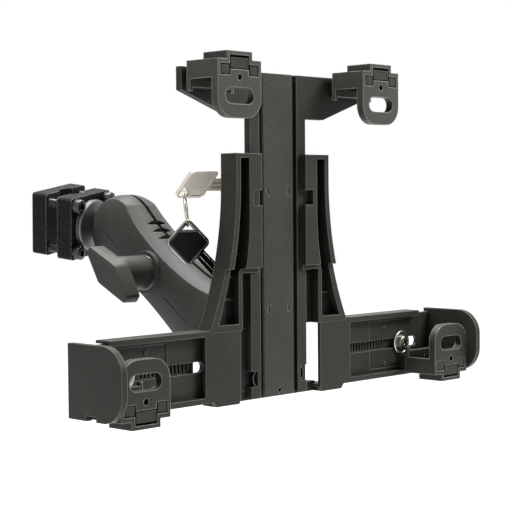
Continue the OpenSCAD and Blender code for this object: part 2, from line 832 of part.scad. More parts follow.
// A ball with its neck, the neck ends in the bore of a flange
module ball_neck() {
    sphere(r = ball_r);
    rod_y(ball_r - 3, flange_y + 2, 0, 0, neck_r);
}
module flange(r) {
    difference() {
        rod_y(flange_y, face_y, 0, 0, r);
        rod_y(flange_y - 1, flange_y + 2.05, 0, 0, neck_r + pin_gap);
    }
}
module holder_ball() {
    color("dimgray") holder() translate(holder_ball_at) rotate([0, 0, 180]) ball_neck();
}
module holder_flange() {
    color("dimgray") holder() translate(holder_ball_at) rotate([0, 0, 180]) difference() {
        flange(17);
        for (a = [45 : 90 : 315]) rod_y(flange_y - 1, face_y + 1, 13 * cos(a), 13 * sin(a), 1.5);
    }
}
module flange_screws() {
    color("silver") holder() translate(holder_ball_at) rotate([0, 0, 180]) for (a = [45 : 90 : 315]) {
        translate([13 * cos(a), 0, 13 * sin(a)]) difference() {
            union() {
                rod_y(flange_y - 1.6, flange_y, 0, 0, 2.6);
                rod_y(flange_y - 0.1, face_y + 4.5, 0, 0, 1.2);
            }
            box(-1.6, 1.6, flange_y - 2, flange_y - 0.8, -0.3, 0.3);
            box(-0.3, 0.3, flange_y - 2, flange_y - 0.8, -1.6, 1.6);
        }
    }
}
module clamp_ball() {
    color("dimgray") clamp() ball_neck();
}
module ball_flange() {
    color("dimgray") clamp() flange(16);
}

// Jaws with a groove for the post and four holes for the screws
module jaw2d() {
    round_box2d(-jaw_w / 2, jaw_w / 2, -jaw_h / 2, jaw_h / 2, 2);
}
module jaw(y0, rise, hole_r) {
    difference() {
        translate([0, 0, rise]) {
            plate(y0, y0 + jaw_t) jaw2d();
        }
        translate([0, post_y, -jaw_h]) cylinder(h = 2 * jaw_h, r = post_d / 2);
        for (x = [-1, 1], z = [-1, 1]) {
            rod_y(y0 - 1, y0 + jaw_t + 1, x * clamp_screw_x, z * clamp_screw_z, hole_r);
        }
    }
}
module inner_jaw() {
    color("dimgray") clamp() jaw(face_y, 0, clamp_screw_r);
}
module outer_jaw() {
    color("dimgray") clamp() jaw(face_y + jaw_t + jaw_gap, 0.7, clamp_screw_r + pin_gap);
}
module clamp_screws() {
    color("dimgray") clamp() for (x = [-1, 1], z = [-1, 1]) {
        translate([x * clamp_screw_x, 0, z * clamp_screw_z]) difference() {
            union() {
                rod_y(face_y - clamp_screw_d, face_y, 0, 0, 0.85 * clamp_screw_d);
                rod_y(face_y - 0.1, face_y + 2 * jaw_t + jaw_gap - 1, 0, 0, clamp_screw_r);
            }
            translate([0, face_y - clamp_screw_d + 2.5, 0]) rotate([90, 0, 0]) {
                cylinder(h = 3, r = 0.46 * clamp_screw_d, $fn = 6);
            }
        }
    }
}

inner_jaw();
outer_jaw();
clamp_screws();
ball_flange();
clamp_ball();
arm_half_near();
arm_half_far();
arm_bolt();
arm_spring();
knob_washer();
wing_knob();
holder_ball();
holder_flange();
flange_screws();
base_frame();
lock_housing();
lock_barrel();
lock_plug();
lock_key();
key_ring();
spare_key();
spare_key_inlay();
slide_washers();
slide_screws();
upper_frame();
column_bar();
foot_springs();
upper_hook_screws();
hook_upper_left();
hook_upper_right();
pad_upper_left();
pad_upper_right();
side_arm_left();
side_arm_right();
hook_lower_left();
hook_lower_right();
pad_lower_left();
pad_lower_right();
hook_screw_left();
hook_screw_right();
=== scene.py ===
# %% [markdown]
# # Headrest tablet mount
# The solids of the mount come in as a fixed frame. This file gives every solid its finish and
# models the small pieces that a maker would add by hand. The scene is in metres, +Z is up and -Y
# faces the person who looks at the tablet. New pieces are drawn in millimetres, times MM.

import json
import math

import bpy
from mathutils import Matrix, Vector


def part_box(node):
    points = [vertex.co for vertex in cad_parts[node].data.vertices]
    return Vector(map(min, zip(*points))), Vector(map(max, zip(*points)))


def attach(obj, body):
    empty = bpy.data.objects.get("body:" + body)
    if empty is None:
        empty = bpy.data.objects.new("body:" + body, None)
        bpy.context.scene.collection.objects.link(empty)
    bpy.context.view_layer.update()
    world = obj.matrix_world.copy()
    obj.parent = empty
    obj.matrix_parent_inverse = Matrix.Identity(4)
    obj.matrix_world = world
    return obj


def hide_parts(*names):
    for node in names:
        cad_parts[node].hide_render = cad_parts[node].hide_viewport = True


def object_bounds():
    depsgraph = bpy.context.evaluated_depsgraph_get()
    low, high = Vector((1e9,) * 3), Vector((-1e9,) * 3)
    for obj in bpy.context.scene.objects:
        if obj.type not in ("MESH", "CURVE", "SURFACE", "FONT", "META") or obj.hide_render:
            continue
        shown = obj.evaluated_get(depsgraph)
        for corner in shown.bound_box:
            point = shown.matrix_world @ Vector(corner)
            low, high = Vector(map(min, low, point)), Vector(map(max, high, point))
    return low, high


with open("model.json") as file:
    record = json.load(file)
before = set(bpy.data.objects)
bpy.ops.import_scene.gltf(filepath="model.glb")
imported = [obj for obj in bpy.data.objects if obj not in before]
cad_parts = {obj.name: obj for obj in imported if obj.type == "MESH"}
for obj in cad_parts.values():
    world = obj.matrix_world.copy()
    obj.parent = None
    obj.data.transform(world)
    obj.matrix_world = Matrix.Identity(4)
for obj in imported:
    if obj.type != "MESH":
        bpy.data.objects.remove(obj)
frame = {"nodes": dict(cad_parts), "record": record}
bpy.ops.object.select_all(action="DESELECT")
cad_box = [[float(v) for v in corner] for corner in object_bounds()]
print("box of the solids:", cad_box)

# %% [markdown]
# ## Camera
# The photograph is taken from the left of the cradle with a long lens, a little above the lower
# hooks. The three angles are turn, pitch and roll. The film is square, 36 mm on a side.

# %% Camera
CAMERA_AT = Vector((-0.5590, -0.7038, 0.0148))
TURN, PITCH, ROLL = -45.8, -2.38, -0.44
LENS, FILM = 100.58, 36.0

camera_data = bpy.data.cameras.new("photo_camera")
camera_data.lens = LENS
camera_data.sensor_width = FILM
camera_data.clip_start = 0.01
camera = bpy.data.objects.new("photo_camera", camera_data)
bpy.context.scene.collection.objects.link(camera)
camera.matrix_world = (
    Matrix.Translation(CAMERA_AT)
    @ Matrix.Rotation(math.radians(TURN), 4, "Z")
    @ Matrix.Rotation(math.radians(90.0 + PITCH), 4, "X")
    @ Matrix.Rotation(math.radians(ROLL), 4, "Z")
)
bpy.context.scene.camera = camera
print("camera at", tuple(round(v, 4) for v in CAMERA_AT))

# %% [markdown]
# ## Floor, world and lamps
# A studio shot on white. The floor and the world are white to the camera and in reflections, so
# black plastic mirrors a white tent. Two switches read the light path: one for the world, one that
# adds light to the floor where the camera sees it, a little less of it below the mount. With that
# light the floor is pure white to the camera, and its shadow doesn't show. It lies low enough for
# the cradle to turn on its side with the column raised.

# %% Node helpers
def math_node(nodes, operation):
    node = nodes.new("ShaderNodeMath")
    node.operation = operation
    return node


def range_node(nodes, come_from, go_to):
    """A map range node from one pair of values to another."""
    node = nodes.new("ShaderNodeMapRange")
    for socket, value in zip(("From Min", "From Max", "To Min", "To Max"), come_from + go_to):
        node.inputs[socket].default_value = value
    return node


def seen_rays(tree):
    """One where a camera, mirror or glass ray looks, and zero for the rays that carry light."""
    paths = tree.nodes.new("ShaderNodeLightPath")
    first = math_node(tree.nodes, "MAXIMUM")
    second = math_node(tree.nodes, "MAXIMUM")
    tree.links.new(paths.outputs["Is Camera Ray"], first.inputs[0])
    tree.links.new(paths.outputs["Is Glossy Ray"], first.inputs[1])
    tree.links.new(first.outputs[0], second.inputs[0])
    tree.links.new(paths.outputs["Is Transmission Ray"], second.inputs[1])
    return second.outputs[0]


print("node helpers ready")

# %% Floor
FLOOR_DROP, FLOOR_SIZE = 0.20, 8.0

bpy.context.scene.view_settings.view_transform = "Standard"
floor_z = cad_box[0][2] - FLOOR_DROP
bpy.ops.mesh.primitive_plane_add(size=FLOOR_SIZE, location=(0.0, 0.0, floor_z))
floor = bpy.context.object
floor.name = "studio_floor"
print("floor at height", round(floor_z, 4))

# %% White of the floor
WHITE = (1.0, 1.0, 1.0, 1.0)
FLOOR_GREY = (0.60, 0.60, 0.60, 1.0)
LIFT_DISTANCES, LIFT_LEVELS = (0.35, 1.3), (0.82, 1.0)

floor_finish = bpy.data.materials.new("studio_white")
floor_finish.use_nodes = True
nodes, links = floor_finish.node_tree.nodes, floor_finish.node_tree.links
shader = nodes["Principled BSDF"]
shader.inputs["Base Color"].default_value = FLOOR_GREY
shader.inputs["Roughness"].default_value = 0.9
shader.inputs["Specular IOR Level"].default_value = 0.1
shader.inputs["Emission Color"].default_value = WHITE
lift_light = math_node(nodes, "MULTIPLY")
spread = nodes.new("ShaderNodeTexCoord")
distance = nodes.new("ShaderNodeVectorMath")
distance.operation = "LENGTH"
lift = range_node(nodes, LIFT_DISTANCES, LIFT_LEVELS)
links.new(spread.outputs["Object"], distance.inputs[0])
links.new(distance.outputs["Value"], lift.inputs["Value"])
links.new(lift.outputs["Result"], lift_light.inputs[1])
links.new(seen_rays(floor_finish.node_tree), lift_light.inputs[0])
links.new(lift_light.outputs[0], shader.inputs["Emission Strength"])
floor.data.materials.append(floor_finish)
print("floor finish:", floor_finish.name)

# %% World
WORLD_LIGHT = 0.09

world = bpy.data.worlds.new("studio_world")
bpy.context.scene.world = world
world.use_nodes = True
background = world.node_tree.nodes["Background"]
background.inputs["Color"].default_value = WHITE
level = range_node(world.node_tree.nodes, (0.0, 1.0), (WORLD_LIGHT, 1.0))
world.node_tree.links.new(seen_rays(world.node_tree), level.inputs["Value"])
world.node_tree.links.new(level.outputs["Result"], background.inputs["Strength"])
print("world: light", WORLD_LIGHT, "and white to the camera")

# %% [markdown]
# The lamps are large panels. The strongest hangs over the mount and a little behind it, because
# the photograph has pale upper faces and dark front faces. A weaker panel on the left opens the
# clamp and the arm, and a narrow one in front draws the thin lines along the edges.

# %% Lamps
def soft_lamp(name, place, aim, width, height, watts):
    data = bpy.data.lights.new(name, "AREA")
    data.shape = "RECTANGLE"
    data.size = width
    data.size_y = height
    data.energy = watts
    lamp = bpy.data.objects.new(name, data)
    bpy.context.scene.collection.objects.link(lamp)
    turned_to = (aim - place).to_track_quat("-Z", "Y").to_matrix().to_4x4()
    lamp.matrix_world = Matrix.Translation(place) @ turned_to


middle = (Vector(cad_box[0]) + Vector(cad_box[1])) / 2.0
column_top = middle + Vector((0.0, 0.0, 0.06))
for name, way, aim, width, height, watts in (
    ("lamp_above", (0.05, 0.22, 1.00), middle, 0.8, 0.6, 33.0),
    ("lamp_left", (-1.00, -0.25, 0.45), middle, 0.5, 0.8, 1.5),
    ("lamp_front", (0.42, -0.64, 0.58), column_top, 0.4, 0.3, 9.2),
):
    soft_lamp(name, middle + Vector(way), aim, width, height, watts)

# %% [markdown]
# ## Three shader groups
# Moulded plastic, cast metal and plated steel share three effects: outer edges that are a little
# round and carry a painted highlight, hollows darkened with painted shade, and a fine grain. Each
# is built once as a node group with named sockets and is then placed in every finish with its own
# values. Ambient occlusion that looks into the solid tells an outer edge from an inner corner, and
# the same node looking out finds the hollows for the painted shade. Both look at their own piece
# only, so no pose changes them. The clamp alone also looks at its neighbours, which paints shade
# into the gap between its jaws.

# %% Helper for groups
def new_group(name, inputs, outputs):
    """A node group with named sockets. An input has its first value, or None for a vector."""
    group = bpy.data.node_groups.new(name, "ShaderNodeTree")
    for socket_name, value in inputs.items():
        kind = "NodeSocketVector" if value is None else "NodeSocketFloat"
        socket = group.interface.new_socket(socket_name, in_out="INPUT", socket_type=kind)
        if value is not None:
            socket.default_value = value
    for socket_name in outputs:
        kind = "NodeSocketVector" if socket_name == "Normal" else "NodeSocketFloat"
        group.interface.new_socket(socket_name, in_out="OUTPUT", socket_type=kind)
    return group, group.nodes.new("NodeGroupInput"), group.nodes.new("NodeGroupOutput")


print("group helper ready")

# %% Group for soft edges
# The Edge mask marks the outer edges, where the finishes mix in a painted highlight colour.
def soft_edge_group():
    group, given, result = new_group(
        "soft_edge", {"Radius": 0.0005, "Reach": 0.12}, ("Edge", "Normal"),
    )
    nodes, links = group.nodes, group.links
    bevel = nodes.new("ShaderNodeBevel")
    bevel.samples = 6
    geometry = nodes.new("ShaderNodeNewGeometry")
    dot = nodes.new("ShaderNodeVectorMath")
    dot.operation = "DOT_PRODUCT"
    turn = math_node(nodes, "SUBTRACT")
    turn.inputs[0].default_value = 1.0
    spread = nodes.new("ShaderNodeMapRange")
    inward = nodes.new("ShaderNodeAmbientOcclusion")
    inward.inside = True
    inward.only_local = True
    inward.samples = 6
    outer = range_node(nodes, (0.95, 0.7), (0.0, 1.0))
    both = math_node(nodes, "MULTIPLY")
    wide = math_node(nodes, "MULTIPLY")
    wide.inputs[1].default_value = 1.6
    links.new(given.outputs["Radius"], wide.inputs[0])
    links.new(wide.outputs[0], inward.inputs["Distance"])
    links.new(inward.outputs["AO"], outer.inputs["Value"])
    links.new(outer.outputs["Result"], both.inputs[1])
    links.new(given.outputs["Radius"], bevel.inputs["Radius"])
    links.new(bevel.outputs["Normal"], dot.inputs[0])
    links.new(geometry.outputs["Normal"], dot.inputs[1])
    links.new(dot.outputs["Value"], turn.inputs[1])
    links.new(turn.outputs[0], spread.inputs["Value"])
    links.new(given.outputs["Reach"], spread.inputs["From Max"])
    links.new(spread.outputs["Result"], both.inputs[0])
    links.new(both.outputs[0], result.inputs["Edge"])
    links.new(bevel.outputs["Normal"], result.inputs["Normal"])
    return group


SOFT_EDGE = soft_edge_group()
print("group:", SOFT_EDGE.name)

# %% Groups for painted shade in hollows
# Painted shade: ambient occlusion darkens the base colour in hollows and gaps, down to Darkest.
def painted_shade_group(name, own_piece):
    group, given, result = new_group(name, {"Depth": 0.009, "Darkest": 0.3}, ("Open",))
    nodes, links = group.nodes, group.links
    outward = nodes.new("ShaderNodeAmbientOcclusion")
    outward.only_local = own_piece
    outward.samples = 8
    level = range_node(nodes, (0.3, 0.85), (0.0, 1.0))
    links.new(given.outputs["Depth"], outward.inputs["Distance"])
    links.new(given.outputs["Darkest"], level.inputs["To Min"])
    links.new(outward.outputs["AO"], level.inputs["Value"])
    links.new(level.outputs["Result"], result.inputs["Open"])
    return group


OWN_PAINTED_SHADE = painted_shade_group("painted_hollow_shade", True)
GAP_PAINTED_SHADE = painted_shade_group("painted_gap_shade", False)
print("groups:", OWN_PAINTED_SHADE.name, GAP_PAINTED_SHADE.name)

# %% Group for grain
def grain_group():
    group, given, result = new_group(
        "moulded_grain", {"Vector": None, "Size": 0.0006, "Depth": 0.00002, "Normal": None},
        ("Cloud", "Speck", "Normal"),
    )
    nodes, links = group.nodes, group.links
    inverse = math_node(nodes, "DIVIDE")
    inverse.inputs[0].default_value = 1.0
    fine = nodes.new("ShaderNodeTexNoise")
    fine.inputs["Detail"].default_value = 3.0
    fine.inputs["Roughness"].default_value = 0.6
    cloud = nodes.new("ShaderNodeTexNoise")
    cloud.inputs["Scale"].default_value = 38.0
    cloud.inputs["Detail"].default_value = 4.0
    bump = nodes.new("ShaderNodeBump")
    bump.inputs["Strength"].default_value = 1.0
    links.new(given.outputs["Size"], inverse.inputs[1])
    links.new(inverse.outputs[0], fine.inputs["Scale"])
    links.new(given.outputs["Vector"], fine.inputs["Vector"])
    links.new(given.outputs["Vector"], cloud.inputs["Vector"])
    links.new(fine.outputs["Fac"], bump.inputs["Height"])
    links.new(given.outputs["Depth"], bump.inputs["Distance"])
    links.new(given.outputs["Normal"], bump.inputs["Normal"])
    links.new(cloud.outputs["Fac"], result.inputs["Cloud"])
    links.new(fine.outputs["Fac"], result.inputs["Speck"])
    links.new(bump.outputs["Normal"], result.inputs["Normal"])
    return group


GRAIN = grain_group()
print("group:", GRAIN.name)

# %% [markdown]
# ## One helper for all finishes
# Every finish is a Principled shader. The grain group bends its normal, the soft edge group
# gives the rounded edge and a mask, and a colour ramp, a mix and two map ranges turn the masks
# into colour and roughness that change over the surface. The mix paints a highlight colour along
# the outer edges, and the hollow group multiplies painted shade into the base colour.

# %% Finish helper
FINISHES = {}


def placed(nodes, group, **values):
    """A group placed in a material with its own values."""
    node = nodes.new("ShaderNodeGroup")
    node.node_tree = group
    for socket, value in values.items():
        node.inputs[socket].default_value = value
    return node


def finish(
    name, colour, edge_highlight_colour, rough, rough_change, grain, depth, edge=0.0004,
    metal=0.0, gloss=0.15, speckle=0.12, darkest=0.3, hollows=OWN_PAINTED_SHADE,
):
    """Colours are linear, and grain, depth and edge are metres."""
    material = bpy.data.materials.new("finish_" + name)
    material.use_nodes = True
    FINISHES[name] = material
    nodes, links = material.node_tree.nodes, material.node_tree.links
    shader = nodes["Principled BSDF"]
    shader.inputs["Metallic"].default_value = metal
    shader.inputs["Specular IOR Level"].default_value = gloss
    place = nodes.new("ShaderNodeTexCoord")
    soft = placed(nodes, SOFT_EDGE, Radius=edge)
    grained = placed(nodes, GRAIN, Size=grain, Depth=depth)
    # Painted shade: this group darkens the base colour in the hollows of the piece.
    hollow = placed(nodes, hollows, Darkest=darkest)
    tone = nodes.new("ShaderNodeValToRGB")
    for stop, position, factor in zip(tone.color_ramp.elements, (0.3, 0.7), (0.88, 1.12)):
        stop.position = position
        stop.color = tuple(min(1.0, c * factor) for c in colour) + (1.0,)
    # Painted highlight: a lighter colour is mixed in along the outer edges.
    edge_highlight_mix = nodes.new("ShaderNodeMix")
    edge_highlight_mix.data_type = "RGBA"
    edge_highlight_mix.inputs["B"].default_value = edge_highlight_colour + (1.0,)
    fleck = range_node(nodes, (0.3, 0.7), (1.0 - speckle, 1.0 + speckle))
    dull = range_node(nodes, (0.0, 1.0), (rough - rough_change, rough + rough_change))
    shaded = math_node(nodes, "MULTIPLY")
    flecked = nodes.new("ShaderNodeVectorMath")
    flecked.operation = "SCALE"
    links.new(place.outputs["Object"], grained.inputs["Vector"])
    links.new(soft.outputs["Normal"], grained.inputs["Normal"])
    links.new(grained.outputs["Cloud"], tone.inputs["Fac"])
    links.new(soft.outputs["Edge"], edge_highlight_mix.inputs["Factor"])
    links.new(tone.outputs["Color"], edge_highlight_mix.inputs["A"])
    links.new(grained.outputs["Speck"], fleck.inputs["Value"])
    links.new(fleck.outputs["Result"], shaded.inputs[0])
    links.new(hollow.outputs["Open"], shaded.inputs[1])
    links.new(edge_highlight_mix.outputs["Result"], flecked.inputs["Vector"])
    links.new(shaded.outputs[0], flecked.inputs["Scale"])
    links.new(flecked.outputs["Vector"], shader.inputs["Base Color"])
    links.new(grained.outputs["Speck"], dull.inputs["Value"])
    links.new(dull.outputs["Result"], shader.inputs["Roughness"])
    links.new(grained.outputs["Normal"], shader.inputs["Normal"])


print("finish helper ready")

# %% [markdown]
# ## The finishes
# The cradle, its column and the hooks are black moulded plastic with a warm tone. The arm is
# painted grey black, the clamp is cast and painted with a coarse texture, and the small parts are
# plated, blackened or turned steel. The lower hooks get a darker copy of the hook plastic, which
# is painted shade.

# %% Plastic, rubber and paint
# The second colour of each finish is a painted highlight along its outer edges.
finish(
    "cradle_plastic", (0.0280, 0.0277, 0.0236), (0.220, 0.217, 0.195),
    0.46, 0.10, 0.0008, 0.00012, 0.0007, speckle=0.25,
)
finish(
    "column_plastic", (0.0430, 0.0425, 0.0365), (0.300, 0.297, 0.265),
    0.42, 0.12, 0.0010, 0.00030, 0.0007, speckle=0.45,
)
finish(
    "hook_plastic", (0.0640, 0.0632, 0.0550), (0.400, 0.395, 0.355),
    0.42, 0.08, 0.0006, 0.00005, 0.0008,
)
# Painted shade: the lower hooks are the hook plastic at about half its brightness.
finish(
    "hook_plastic_painted_shade", (0.0330, 0.0326, 0.0280), (0.330, 0.326, 0.293),
    0.42, 0.08, 0.0006, 0.00005, 0.0008,
)
finish(
    "pad_rubber", (0.0500, 0.0495, 0.0430), (0.110, 0.109, 0.097),
    0.80, 0.08, 0.0011, 0.00014, gloss=0.12,
)
finish(
    "arm_paint", (0.0430, 0.0430, 0.0388), (0.085, 0.085, 0.078),
    0.48, 0.08, 0.0009, 0.00008, 0.0012,
)
finish("ball_rubber", (0.022, 0.022, 0.021), (0.040, 0.040, 0.040), 0.7, 0.08, 0.0008, 0.00005)
# Painted shade: the clamp's hollows and the gap between its jaws darken almost to black.
finish(
    "clamp_paint", (0.0060, 0.0060, 0.0061), (0.300, 0.300, 0.295),
    0.40, 0.20, 0.0015, 0.00180, 0.0007,
    gloss=0.08, speckle=0.6, darkest=0.02, hollows=GAP_PAINTED_SHADE,
)
finish(
    "key_inlay", (0.004, 0.004, 0.004), (0.05, 0.05, 0.05),
    0.24, 0.12, 0.0007, 0.00025, gloss=0.1,
)
finish(
    "knob_plastic", (0.0500, 0.0500, 0.0450), (0.120, 0.120, 0.110),
    0.48, 0.08, 0.0008, 0.00010, 0.0005,
)
print("finishes:", sorted(FINISHES))

# %% Metal
# The second colour of each finish is a painted highlight along its outer edges.
finish(
    "black_steel", (0.014, 0.014, 0.014), (0.35, 0.35, 0.34),
    0.26, 0.08, 0.0004, 0.00002, 0.00015, gloss=0.5,
)
finish(
    "zinc_steel", (0.42, 0.42, 0.42), (0.85, 0.85, 0.84),
    0.30, 0.08, 0.0005, 0.00002, 0.0002, 1.0,
)
finish(
    "dull_zinc", (0.17, 0.155, 0.125), (0.60, 0.57, 0.50),
    0.32, 0.10, 0.0005, 0.00003, 0.0002, 1.0, darkest=0.1,
)
finish(
    "washer_steel", (0.075, 0.075, 0.074), (0.75, 0.75, 0.74),
    0.34, 0.08, 0.0005, 0.00002, 0.00012, 1.0,
)
finish(
    "ring_steel", (0.40, 0.38, 0.33), (0.60, 0.58, 0.52),
    0.16, 0.05, 0.0006, 0.00002, 0.0001, 1.0,
)
finish(
    "key_metal", (0.86, 0.81, 0.71), (0.97, 0.94, 0.86),
    0.34, 0.09, 0.0008, 0.00003, 0.0003, 0.3, speckle=0.04, darkest=0.5,
)
# Painted reflection: the spare key's mirror metal has a near-black colour for a dark reflection.
finish(
    "spare_key_painted_reflection", (0.060, 0.058, 0.055), (0.97, 0.94, 0.86),
    0.12, 0.05, 0.0008, 0.00003, 0.0004, 1.0,
)
finish(
    "spring_steel", (0.035, 0.035, 0.035), (0.40, 0.40, 0.40),
    0.35, 0.08, 0.0004, 0.00001, 0.0002, 1.0,
)
finish(
    "turned_steel", (0.14, 0.14, 0.14), (0.75, 0.75, 0.74),
    0.42, 0.08, 0.0005, 0.00002, 0.0003, 0.9,
)
print("finishes:", sorted(FINISHES))

# %% Dress every solid in the finish of its slot
slot_of = {part["node"]: part["material_slot"] for part in frame["record"]["subparts"]}
own_finish = {
    "spare_key": "spare_key_painted_reflection",
    "key_ring": "ring_steel",
    "hook_lower_left": "hook_plastic_painted_shade",
    "hook_lower_right": "hook_plastic_painted_shade",
}
for node_name, node_object in frame["nodes"].items():
    node_object.data.materials.clear()
    node_object.data.materials.append(FINISHES[own_finish.get(node_name, slot_of[node_name])])
print("dressed", len(slot_of), "solids")

# %% [markdown]
# ## Places of the arm and of the clamp
# The solids are drawn in three places: the cradle stands straight, the arm slopes up to the back,
# and the clamp is turned on its ball. The same three places are kept here as matrices, so that a
# piece can be modelled upright in millimetres and then set down where it belongs. The bolt of the
# arm lies 49 mm from the ball of the cradle.

# %% Places
MM = 0.001
POST = Vector((-11.0549, 166.9592, 94.4660))
SLOPE = 35.0
ARM_LENGTH = 90.0
BOLT_AT = 49.0
CLAMP_TURN, CLAMP_LEAN, CLAMP_TILT = 14.0, -8.6, 7.4
HOLDER_BALL = Vector((0.0, 52.3, 37.4))
CLAMP_BALL = HOLDER_BALL + ARM_LENGTH * Vector(
    (0.0, math.cos(math.radians(SLOPE)), math.sin(math.radians(SLOPE)))
)
CRADLE_PLACE = Matrix.Translation(-POST * MM)
ARM_PLACE = (
    Matrix.Translation((HOLDER_BALL - POST) * MM)
    @ Matrix.Rotation(math.radians(SLOPE), 4, "X")
)
CLAMP_PLACE = (
    Matrix.Translation((CLAMP_BALL - POST) * MM)
    @ Matrix.Rotation(math.radians(CLAMP_TURN), 4, "Z")
    @ Matrix.Rotation(math.radians(CLAMP_LEAN), 4, "Y")
    @ Matrix.Rotation(math.radians(CLAMP_TILT), 4, "X")
)
print("clamp ball at", [round(v, 4) for v in CLAMP_PLACE.translation])

# %% [markdown]
# ## Small helpers for modelling
# An operator works on all that is selected, so each step first selects exactly what it needs:
# one object, or the faces, edges or points that pass a test on their place or normal.

# %% Selecting
def only(piece):
    bpy.ops.object.select_all(action="DESELECT")
    piece.select_set(True)
    bpy.context.view_layer.objects.active = piece


def start_picking(piece, kind):
    """Clears the selection of the piece, for faces, edges or points."""
    only(piece)
    bpy.ops.object.mode_set(mode="EDIT")
    bpy.ops.mesh.select_mode(type=kind)
    bpy.ops.mesh.select_all(action="DESELECT")
    bpy.ops.object.mode_set(mode="OBJECT")


def pick_faces(piece, test):
    """Leaves the piece in edit mode with the faces that pass the test selected."""
    start_picking(piece, "FACE")
    for face in piece.data.polygons:
        face.select = bool(test(face.center / MM, face.normal))
    bpy.ops.object.mode_set(mode="EDIT")


def pick_edges(piece, test):
    """Leaves the piece in edit mode with the edges whose two ends pass the test selected."""
    start_picking(piece, "EDGE")
    points = [vertex.co / MM for vertex in piece.data.vertices]
    for edge in piece.data.edges:
        edge.select = bool(test(points[edge.vertices[0]], points[edge.vertices[1]]))
    bpy.ops.object.mode_set(mode="EDIT")


def pick_points(piece, test):
    """Leaves the piece in edit mode with the points that pass the test selected."""
    start_picking(piece, "VERT")
    for vertex in piece.data.vertices:
        vertex.select = bool(test(vertex.co / MM))
    bpy.ops.object.mode_set(mode="EDIT")


def leave_edit():
    bpy.ops.object.mode_set(mode="OBJECT")


print("selecting helpers ready")

# %% Finishing and setting down
MERGE_WITHIN = 0.000002


def cut_or_join(piece, tool, operation):
    """A boolean with the tool, which is used up."""
    only(piece)
    step = piece.modifiers.new("shape", "BOOLEAN")
    step.operation = operation
    step.object = tool
    step.solver = "EXACT"
    bpy.ops.object.modifier_apply(modifier=step.name)
    bpy.data.objects.remove(tool)


def set_down(piece, place, angle=30.0):
    """Bakes a place into the mesh, so that the object itself stays at the origin."""
    piece.matrix_world = place @ piece.matrix_world
    only(piece)
    bpy.ops.object.transform_apply(location=True, rotation=True, scale=True)
    bpy.ops.object.mode_set(mode="EDIT")
    bpy.ops.mesh.select_all(action="SELECT")
    bpy.ops.mesh.remove_doubles(threshold=MERGE_WITHIN)
    bpy.ops.mesh.normals_make_consistent(inside=False)
    leave_edit()
    bpy.ops.object.shade_smooth_by_angle(angle=math.radians(angle))


def belongs(piece, body, finish_name, slot, *nodes):
    """Gives the piece its finish, its body and the solids that it stands for. The slot is not
    used.
    """
    piece.data.materials.clear()
    piece.data.materials.append(FINISHES[finish_name])
    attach(piece, body)
    if nodes:
        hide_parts(*nodes)
    print(piece.name, "rides on", body, "with", len(piece.data.polygons), "faces")


def copy_of(piece, name):
    only(piece)
    bpy.ops.object.duplicate()
    twin = bpy.context.object
    twin.name = name
    return twin


def join_all(piece, others):
    only(piece)
    for other in others:
        other.select_set(True)
    bpy.ops.object.join()


print("finishing helpers ready")

# %% [markdown]
# ## A lathe
# Screws, washers, the flange and the stem of the knob are turned parts. Their outline is drawn by
# extruding one point along the profile, and the spin operator turns it about Z. A cylinder with
# many loops could do the same, but an outline reads like the drawing that a turner works from.
# Each pair in an outline is a radius and a height in millimetres.

# %% Lathe
def turned(name, outline, steps=48):
    bpy.ops.object.select_all(action="DESELECT")
    bpy.ops.mesh.primitive_plane_add(size=MM)
    piece = bpy.context.object
    piece.name = name
    bpy.ops.object.mode_set(mode="EDIT")
    bpy.ops.mesh.select_all(action="SELECT")
    bpy.ops.mesh.merge(type="CENTER")
    bpy.ops.mesh.select_mode(type="VERT")
    bpy.ops.mesh.select_all(action="SELECT")
    radius, height = outline[0]
    bpy.ops.transform.translate(value=(radius * MM, 0.0, height * MM))
    for next_radius, next_height in outline[1:]:
        step = ((next_radius - radius) * MM, 0.0, (next_height - height) * MM)
        bpy.ops.mesh.extrude_region_move(TRANSFORM_OT_translate={"value": step})
        radius, height = next_radius, next_height
    bpy.ops.mesh.select_all(action="SELECT")
    bpy.ops.mesh.spin(
        steps=steps, angle=2.0 * math.pi, center=(0.0, 0.0, 0.0), axis=(0.0, 0.0, 1.0),
    )
    bpy.ops.mesh.select_all(action="SELECT")
    bpy.ops.mesh.remove_doubles(threshold=MERGE_WITHIN)
    bpy.ops.mesh.normals_make_consistent(inside=False)
    leave_edit()
    return piece


print("lathe ready")

# %% [markdown]
# ## A rounded block
# Pads, web and the cutters of the screw recesses start as a cube that is stretched between two
# corners, with all edges rounded by the bevel operator.

# %% Rounded block
def block(low, high, round_by=0.3):
    middle = [(a + b) / 2.0 * MM for a, b in zip(low, high)]
    bpy.ops.object.select_all(action="DESELECT")
    bpy.ops.mesh.primitive_cube_add(size=MM, location=middle)
    piece = bpy.context.object
    piece.scale = [b - a for a, b in zip(low, high)]
    only(piece)
    bpy.ops.object.transform_apply(location=True, rotation=True, scale=True)
    bpy.ops.object.mode_set(mode="EDIT")
    bpy.ops.mesh.select_mode(type="EDGE")
    bpy.ops.mesh.select_all(action="SELECT")
    bpy.ops.mesh.bevel(offset=round_by * MM, segments=3, affect="EDGES")
    leave_edit()
    return piece


print("block helper ready")

# %% [markdown]
# ## Clamp screws
# Four socket head screws pull the two jaws together round the headrest post. The head has a
# knurled rim for the fingers and a hexagon socket, and its thread shows in the gap between the
# jaws. The knurl is made by pushing in every second face of the rim, one face at a time, and the
# socket by a boolean with a six sided cylinder. Rings stand for the fine thread.

# %% One clamp screw
CREST, ROOT = 2.46, 2.08
THREAD_START, THREAD_PITCH, THREAD_RINGS = 14.9, 0.8, 13
HEAD_RADIUS, HEAD_TOP, RIM_LOW, RIM_HIGH = 4.25, 5.0, 0.7, 4.5

